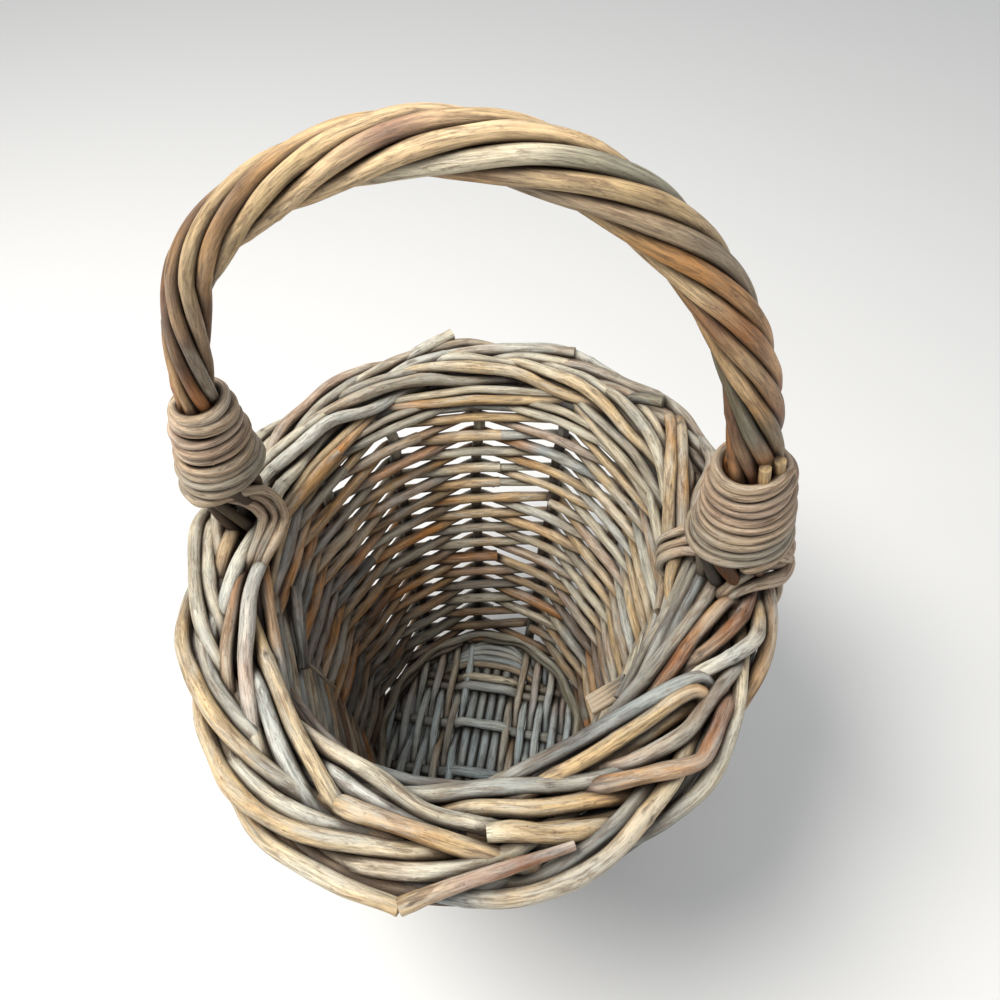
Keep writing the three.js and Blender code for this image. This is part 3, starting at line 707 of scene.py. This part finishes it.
# the wale inside the foot of the wall closes the corner with the base, with some painted shade in that corner
wale = {"rods": 3, "half": 2.55, "pitch": 4.6, "in": 6.2}
for i in range(wale["rods"]):
    part = np.linspace(0, 1, 150)
    out = -wale["in"] - 0.4 * i + 0.9 * np.cos(tau * stakes * part + i)
    ring = wallAt(part * 0.99 + i * 0.31, wallFoot + 0.5 + i * wale["pitch"], out)
    upsettRods.append(makeRod(evenly(ring, 2.4), wale["half"], pick("ash brown clay moss", 74 + i, 5),
                              2990 + i, paintedShade=0.25, patch=0.6))

# foot, three rods laid round under the stakes, with painted shade under the basket
foot = {"rods": 3, "half": 2.15, "turns": 11, "far": 1.75, "above": 0.35}
footRods = []
for i in range(foot["rods"]):
    part = np.linspace(0, 1, 420)
    turn = tau * (foot["turns"] * part + i / foot["rods"])
    ring = wallAt(part * 0.985 + i / foot["rods"], wallFoot, foot["far"] * np.cos(turn))
    ring[:, 2] = foot["half"] + foot["far"] + foot["far"] * np.sin(turn) + foot["above"]
    footRods.append(makeRod(evenly(ring, 2.4), foot["half"], pick("ash brown clay", 60 + i),
                            3100 + i, paintedShade=0.7, patch=0.6))

# base: cross sticks over a group of long ones, and thin rods woven closely round both
base = {"fillHalf": 2.3, "stickHalf": 2.9, "stickStep": 5.9, "arch": 5.4, "fillStart": 14.6, "pitch": 4.6,
        "rise": 4.3, "turnFar": 71.0, "turnWide": 13.0}
footTop = basket["footThick"] * math.cos(math.pi / 8)
crossLevel = footTop + basket["stickThick"] / 2 + basket["clearance"]
stickReach = 1 - 1.5 / basket["baseWidth"]


def ovalHalf(place, along, over):
    return along / 2 * math.sqrt(max(0.0, 1 - (2 * place / over) ** 2))


def between(k, part):
    ends = [wallAt(stakeShare(j), footTop) for j in (k, k + 1)]
    return ends[0] * (1 - part) + ends[1] * part


# the sticks end between two stakes: a stake and the part of the way to the next one
crossPlaces, backFan, frontFan = [[between(*end)[axis] for end in ends] for axis, ends in (
    (1, ((4, 0.46), (3, 0.6), (2, 0.6), (1, 0.56))),
    (0, ((0, 0.25), (12, 0.78), (12, 0.51), (12, 0.24))),
    (0, ((5, 0.58), (5, 0.785), (6, 0.29), (6, 0.52))))]
stickRods, fillRods = [], []
for i, (back, front) in enumerate(zip(backFan, frontFan)):
    x = (i - 1.5) * base["stickStep"]
    farBack, farFront = [ovalHalf(far, basket["baseLength"], basket["baseWidth"]) * stickReach
                         for far in (back, front)]
    line = [(front, -farFront, crossLevel), (x + (front - x) * 0.5, -farFront + 14, crossLevel + 1.0),
            (x, crossPlaces[0], crossLevel), (x, 0, crossLevel), (x, crossPlaces[3], crossLevel),
            (x + (back - x) * 0.5, farBack - 14, crossLevel + 1.0), (back, farBack, crossLevel)]
    # the long sticks carry a little painted shade
    stickRods.append(makeRod(curved(line, 3.0), base["stickHalf"], "clay slate slate steel clay",
                             3300 + i, paintedShade=0.1, knots=2))
# the four cross sticks and two short ones beside them
crossTones = "slatePale slate slatePale cream steel pink".split()
for i, y in enumerate(crossPlaces + [crossPlaces[3] - 6.0, crossPlaces[0] - 9.0]):
    reach = ovalHalf(y, basket["baseWidth"], basket["baseLength"]) * stickReach - (0 if i < 4 else 16)
    over = crossLevel + base["arch"]
    line = [(-reach, y, crossLevel), (-21, y, crossLevel + 0.5), (-13, y, over), (0, y, over + 0.4),
            (13, y, over), (21, y, crossLevel + 0.5), (reach, y, crossLevel)]
    names = f"clay {crossTones[i]} clay"
    stickRods.append(makeRod(curved(line, 2.6), base["stickHalf"], names, 3340 + i, knots=2))

# the filling runs to and fro over and under the cross sticks
fillPlaces = sorted(crossPlaces)
fillTones = "slate pink slatePale clay slate slatePale tan slate chalk"
for side in (-1, 1):
    for i in range(11):
        x = base["fillStart"] + base["pitch"] * i
        reach = ovalHalf(x, basket["baseLength"] - 8, basket["baseWidth"] - 8)
        if reach < 16:
            break
        line = [(side * (x + 0.6), -reach, crossLevel + 2.2)]
        for j, y in enumerate(fillPlaces):
            if abs(y) < reach - 5:
                way = 1 if (j + i + (side > 0)) % 2 else -1
                line.append((side * x, y, crossLevel + way * base["rise"] + 0.8))
        line.append((side * (x + 0.6), reach, crossLevel + 2.2))
        points = wandered(curved(line, 2.2), 3500 + i * 3 + side, 0.5)
        fillRods.append(makeRod(points, base["fillHalf"], pick(fillTones, 170 + i * 2 + side),
                                3400 + i * 4 + side, patch=0.6, knots=1))
# short turns close the ends of the group, with a little painted shade
for end in (-1, 1):
    for i in range(6):
        far = base["turnFar"] - 4.3 * i
        wide = base["turnWide"] + 3.0 * i
        line = [(-wide - 5, end * (far - 9), crossLevel + 1), (-wide * 0.5, end * far, crossLevel + 3.6),
                (wide * 0.5, end * far, crossLevel + 3.2), (wide + 5, end * (far - 9), crossLevel + 1)]
        fillRods.append(makeRod(curved(line, 2.2), base["fillHalf"], pick(fillTones, 230 + i * 2 + end, 2),
                                3470 + i * 4 + end, paintedShade=0.15))

# handle: seven rods twisted round a bow
handle = {"rods": 7, "ring": 6.8, "half": 2.93, "sizes": (0.86, 1.0, 1.06), "rise": 202.6, "turns": 3.3,
          "gain": 0.17, "spread": 7.2, "foot": 1.0, "footShift": 5.5, "tall": 45.8,
          "bowHalf": 3.2, "bowDown": 50, "bruise": (5, 0.49, 0.025)}
legLeft, legRight = [onBorder(share, out, 0)[0] for share, out in zip((0.5, 1.0), basket["legReach"])]
handleMid, handleHalf = (legLeft + legRight) / 2, (legRight - legLeft) / 2
sweepAngle = math.pi * (1 - np.arange(1441) / 1440)
# its shoulders are a little rounder than its legs, the left one most
height = np.sin(sweepAngle) ** 2
squareness = basket["handleSquareness"] - np.where(
    sweepAngle > math.pi / 2, np.maximum(height - 0.43, 0) * 1.1, height * 0.3)
handleUp = handle["rise"] * np.abs(np.sin(sweepAngle)) ** (2 / squareness)
handleCurve = np.stack([
    handleMid + handleHalf * np.sign(np.cos(sweepAngle)) * np.abs(np.cos(sweepAngle)) ** (2 / squareness),
    -basket["handleLean"] * (handleUp / basket["handleRise"]) ** 1.5, rimLevel + handleUp], -1)
handleAlong = lengthAlong(handleCurve)
handleLength = handleAlong[-1]
bindingFoot = basket["bindingFoot"]


def onHandle(distance):
    want = np.clip(distance, 0, handleLength)
    point = sample(want, handleAlong, handleCurve)
    point[..., 0] += handle["footShift"] * np.clip(1 - want / (2 * handle["tall"]), 0, 1)
    point[..., 2] += np.minimum(distance, 0) + np.minimum(handleLength - distance, 0)
    return point


def ropeSize(distance):
    # the rope of rods is thinnest at the left leg and thickest at the right one
    return np.interp(distance / handleLength, [0.15, 0.5, 0.85], handle["sizes"])


def spread(distance):
    near = np.minimum(distance, handleLength - distance)
    return handle["spread"] * np.interp(near, [0, bindingFoot, bindingFoot + handle["tall"]], [0.3, 1, 0])


def aroundHandle(distance, turn, far):
    # a place beside the handle: turned from its front, and so far from its middle
    tangent = onHandle(distance + 3) - onHandle(distance - 3)
    tangent /= np.linalg.norm(tangent, axis=-1, keepdims=True)
    front = np.array([0.0, -1.0, 0.0]) + tangent * tangent[..., 1:2]
    front /= np.linalg.norm(front, axis=-1, keepdims=True)
    outward = np.cross(front, tangent)
    return (onHandle(distance) + front * (np.cos(turn) * far)[..., None]
            + outward * (np.sin(turn) * far)[..., None])


handleTones = [
    "bark bark brown amber honey amber orange ochre ash",
    "ash brown tan honey tan tan olive ochre ash",
    "bark clay brown amber tan honey brown rust clay",
    "bark ochre bark honey cream moss olive ochre ash",
    "brown brown amber gold gold gold amber olive clay",
    "ash brown orange gold gold honey rust bark ash",
    "bark moss tan honey gold gold ochre ochre ash",
]
handleRods = []
for k in range(handle["rods"]):
    distance = np.linspace(handle["foot"], handleLength - handle["foot"], 300)
    part = distance / handleLength
    turn = tau * (k / handle["rods"] + handle["turns"] * part * (1 - handle["gain"] * (1 - part)))
    turn = turn + smoothNoise(3500 + k, 0.05, 90)(distance)
    size = ropeSize(distance)
    far = handle["ring"] * size + spread(distance) + smoothNoise(3520 + k, 0.14, 70)(distance)
    rod = makeRod(evenly(aroundHandle(distance, turn, far), 2.6), handle["half"], handleTones[k],
                  3600 + k * 9, patch=1.0, knots=5, wobble=0.05)
    places = np.linspace(0, 1, len(rod["thick"]))
    rod["thick"] *= np.interp(places, part, size)
    # painted shade darkens the ends below the bindings
    rod["grade"][:, 0] = np.interp(np.minimum(places, 1 - places), [0.06, 0.10], [0.9, 0])
    # one rod is bruised at the top of the arch
    bruised, bruisePlace, bruiseReach = handle["bruise"]
    if k == bruised:
        away = (lengthAlong(rod["points"]) / handleLength - bruisePlace) / bruiseReach
        bruise = (0.75 * np.exp(-away ** 2))[:, None]
        rod["tone"] = rod["tone"] * (1 - bruise) + tones["plum"] * bruise
    handleRods.append(rod)
bowEnds = []
wallOut = basket["stakeThick"] / 2 + basket["weaverThick"] * 1.5 + 1.2 + basket["handleThick"] / 2
for share, out in legPlaces:
    levels = rimLevel - plaitUnder - 6 - handle["bowDown"] * np.arange(4) / 3
    bowEnds.append(np.vstack([[onBorder(share, out, plaitUnder), onBorder(share, out, -plaitUnder)],
                              wallAt(share, levels, wallOut - np.array([2.2, 3.6, 4.2, 4.8]))]))
over = onHandle(bindingFoot - 3 + (handleLength - 2 * bindingFoot + 6) * np.arange(31) / 30)
bowLine = np.vstack([bowEnds[0][::-1], over, bowEnds[1]])
handleRods.append(makeRod(curved(bowLine, 3.0), handle["bowHalf"], "ash brown tan brown ash",
                          3700, patch=0.8, knots=6))

# cane bindings round the two feet of the handle
cane = {"half": 2.32, "turns": 10.175, "wander": 0.55, "slant": 2.2,
        # the strands of the tails, the first of which goes on from the coil: how thick it is beside the coil,
        # then places along the border from the left leg, out and up
        "left": [
            (1, (6, -13, 30), (1, -20, 23), (2, -23, 12), (11, -23, 9), (20, -20, 6), (26, -15.5, 0)),
            (1, (9, -5, 30), (4, -15, 24), (4, -19, 13), (12, -19, 10), (21, -16.5, 7), (27, -12, 0)),
            (1, (11, 2, 29), (8, -10, 24), (7, -15, 14.5), (14, -15, 11), (22, -13, 7.5), (28, -9, 0))],
        "right": [
            (1, (376, 10, 31), (378, 18.5, 26), (382, 24.5, 18), (381, 23, 9), (377, 23.5, 2),
             (374, 21, -7)),
            (1, (388, -2, 28), (394, -12, 22), (397, -20.5, 14), (398, -27, 7), (397, -26.5, 0),
             (395, -20, -6)),
            (1, (383, -6, 25), (389, -14, 18.5), (392, -20.5, 11.5), (393, -27, 5), (392.5, -26.5, -2),
             (391, -20, -7)),
            (1, (378, -8, 22), (384, -14, 15.5), (388, -20.5, 9.5), (388.5, -26.5, 3), (388, -26, -4),
             (386, -20, -8)),
            (1.25, (388, 17, 30), (386, 23, 25), (380, 20.5, 20.5), (376, 12.1, 20.5), (369.5, 4.2, 19),
             (366, -2, 9)),
            (1.25, (385, 22, 20), (382, 24.5, 18), (376, 21.5, 16), (371, 13, 16), (366, 5, 14.5),
             (363, -2, 4))]}
ropeHalf = handle["ring"] + handle["half"]


def bindingRods(leg, seed):
    # the cane round one foot, from the top down, and its tail over the border
    total = int(round(cane["turns"] * 24))
    i = np.arange(total + 1)
    up = bindingFoot + handle["tall"] * (1 - i / total)
    distance = up if leg < 0 else handleLength - up
    turn = 0.1 - tau * (i - total) / 24
    far = ropeHalf * ropeSize(distance) + spread(distance) + cane["half"] * 0.92
    coil = aroundHandle(distance, turn, far + smoothNoise(seed, cane["wander"], 40)(i))
    coil[:, 2] += smoothNoise(seed + 3, cane["wander"] * 1.6, 21)(i) + cane["slant"] * np.sin(turn) * leg
    rods = []
    for wide, *places in cane["left" if leg < 0 else "right"]:
        line = onBorderLine(places)
        if not rods:
            line = np.vstack([coil[:-1:2], coil[-1:], line])
        rods.append(makeRod(curved(line, 1.8), cane["half"] * wide, "caneTan canePink caneTan clay caneTan",
                            seed + 9 * len(rods), patch=0.8, wobble=0.13))
    return rods


# two cut pegs stand in the top of the right binding
pegs = {"half": 2.3, "turns": (0.3, 0.85), "from": 2, "to": -6.5, "away": 1.7}
pegRods = []
for i, turn in enumerate(pegs["turns"]):
    distance = handleLength - bindingFoot - handle["tall"] - 2.15 + np.linspace(pegs["from"], pegs["to"], 8)
    line = aroundHandle(distance, np.full(8, turn), np.full(8, ropeHalf + pegs["away"]))
    pegRods.append(makeRod(line, pegs["half"], "amber honey", 3900 + i))

# bits inside: a twig and a dark split end at the left, and a flat split strip at the right
twig = {"half": 0.95, "from": (0.583, 159, -10), "to": (0.558, 107, -9)}
stub = {"half": 2.9, "from": (0.529, 173, -8.5), "to": (0.590, 160, -9.5)}
strip = {"half": 1.5, "rods": 4, "from": (317, -28, -7), "to": (301.5, -38, -19), "step": (-1.4, 1.7)}
bitRods = []
for i, (bit, names) in enumerate(((twig, "tan tan"), (stub, "dark ash dark"))):
    ends = [wallAt(*bit[end]) for end in ("from", "to")]
    bitRods.append(makeRod(evenly(np.array(ends), 2.0), bit["half"], names, 3950 + i, patch=0.6))
for i in range(strip["rods"]):
    arcStep, outStep = strip["step"]
    ends = [(arc + arcStep * i, out + outStep * i, up) for arc, out, up in (strip["from"], strip["to"])]
    bitRods.append(makeRod(evenly(onBorderLine(ends), 2.0), strip["half"], "ash tan tan", 3960, patch=0.6))

# everything grows
willow = willowMaterial("weatheredWillow", plainFinish)
paleWillow = willowMaterial("handleWillow", {
    **plainFinish, "pale": 0.09, "grey": 0.06, "stain": 0.6, "speck": 0.35, "soot": 0.6, "rough": 0.40})
caneSkin = willowMaterial("bindingCane", {
    **plainFinish, "pale": 0.25, "grey": 0.2, "stain": 0.85, "speck": 0.5, "grain": 0.8})
# each piece: its name, rods, material, slot, the nodes it replaces, sides of a rod and roughness of its bark
pieces = [
    ("wallStakes", stakeRods, willow, "stake_willow",
     [f"stake_{k + 1:02d}" for k in range(stakes)], 14, 0.05),
    ("borderPlait", borderRods, willow, "border_willow",
     [f"border_rod_{k + 1:02d}" for k in range(stakes)], 14, 0.05),
    ("upsettWale", upsettRods, willow, "weaver_willow", ["upsett_weave"], 10, 0.05),
    ("footWale", footRods, willow, "foot_willow", ["foot_ring"], 10, 0.05),
    ("baseSticks", stickRods, willow, "stick_willow",
     [f"base_{way}_stick_{i + 1}" for way in ("long", "cross") for i in range(4)], 10, 0.05),
    ("baseFill", fillRods, willow, "base_willow", ["base_fill_left", "base_fill_right"], 10, 0.05),
    ("twistedHandle", handleRods, paleWillow, "handle_willow",
     [f"handle_rod_{i + 1}" for i in range(handle["rods"])] + ["handle_bow"], 16, 0.05),
    ("leftBinding", bindingRods(-1, 3800), caneSkin, "cane", ["left_binding", "left_tie"], 10, 0.03),
    ("rightBinding", bindingRods(1, 3850), caneSkin, "cane", ["right_binding", "right_tie"], 10, 0.03),
    ("rightPegs", pegRods, paleWillow, "peg_wood", ["right_peg_1", "right_peg_2"], 10, 0.03),
]
wallRods[-1] += bitRods
for i, rods in enumerate(wallRods):
    pieces.append((f"wallWeave{i + 1}", rods, willow, "weaver_willow", [f"side_weave_{i + 1}"], 9, 0.05))
crowd = Crowd([rod for piece in pieces for rod in piece[1]])
print("crease field made")
for piece in pieces:
    growRods(crowd, *piece)

# floor, light and camera
stage = {"floor": (0.80, 0.80, 0.79), "size": 4, "world": 0.53, "sky": (0.95, 0.97, 1.0), "aim": (0, 0, 0.2)}
# lamps: place, size, power and tint
lamps = {"keyLamp": ((-0.55, -0.25, 1.25), 0.7, 19.8, (1.0, 0.97, 0.92)),
         "fillLamp": ((0.9, -0.6, 0.9), 0.9, 1.5, (1, 1, 1))}
floorMesh = bpy.data.meshes.new("floor")
corners = [(x * stage["size"], y * stage["size"], 0) for x, y in ((-1, -1), (1, -1), (1, 1), (-1, 1))]
floorMesh.from_pydata(corners, [], [(0, 1, 2, 3)])
floor = newObject("floor", floorMesh)
floorSkin = bpy.data.materials.new("paleFloor")
floorSkin.use_nodes = True
floorShader = floorSkin.node_tree.nodes["Principled BSDF"]
floorShader.inputs["Base Color"].default_value = (*stage["floor"], 1)
floorShader.inputs["Roughness"].default_value = 0.9
floorMesh.materials.append(floorSkin)

world = bpy.data.worlds.new("studio")
bpy.context.scene.world = world
world.use_nodes = True
sky = world.node_tree.nodes["Background"]
sky.inputs["Color"].default_value = (*stage["sky"], 1)
sky.inputs["Strength"].default_value = stage["world"]


def stand(name, data, place, turned):
    holder = newObject(name, data)
    holder.location = place
    holder.rotation_euler = turned.to_euler()
    return holder


for name, (place, size, power, tint) in lamps.items():
    lamp = bpy.data.lights.new(name, "AREA")
    lamp.shape = "DISK"
    lamp.size = size
    lamp.energy = power
    lamp.color = tint
    stand(name, lamp, place, (Vector(stage["aim"]) - Vector(place)).to_track_quat("-Z", "Y"))

# the camera of the photograph, fitted to it; place and aim in millimetres from the middle of the foot
view = {"place": (48.5, -249.9, 515.4), "aim": (6.3, 32.3, 195.0), "roll": 0.4, "focal": 900.0,
        "pixels": 1000, "sensor": 36}
camera = bpy.data.cameras.new("photoCamera")
camera.sensor_width = view["sensor"]
camera.lens = view["focal"] * view["sensor"] / view["pixels"]
camera.clip_start = 0.01
place, aim = [(Vector(view[key]) + Vector(middle)) * 0.001 for key in ("place", "aim")]
roll = Matrix.Rotation(math.radians(view["roll"]), 3, "Z")
cameraHolder = stand("photoCamera", camera, place, (aim - place).to_track_quat("-Z", "Y").to_matrix() @ roll)
bpy.context.scene.camera = cameraHolder
bpy.context.scene.view_settings.view_transform = "Standard"

print("scene ready")
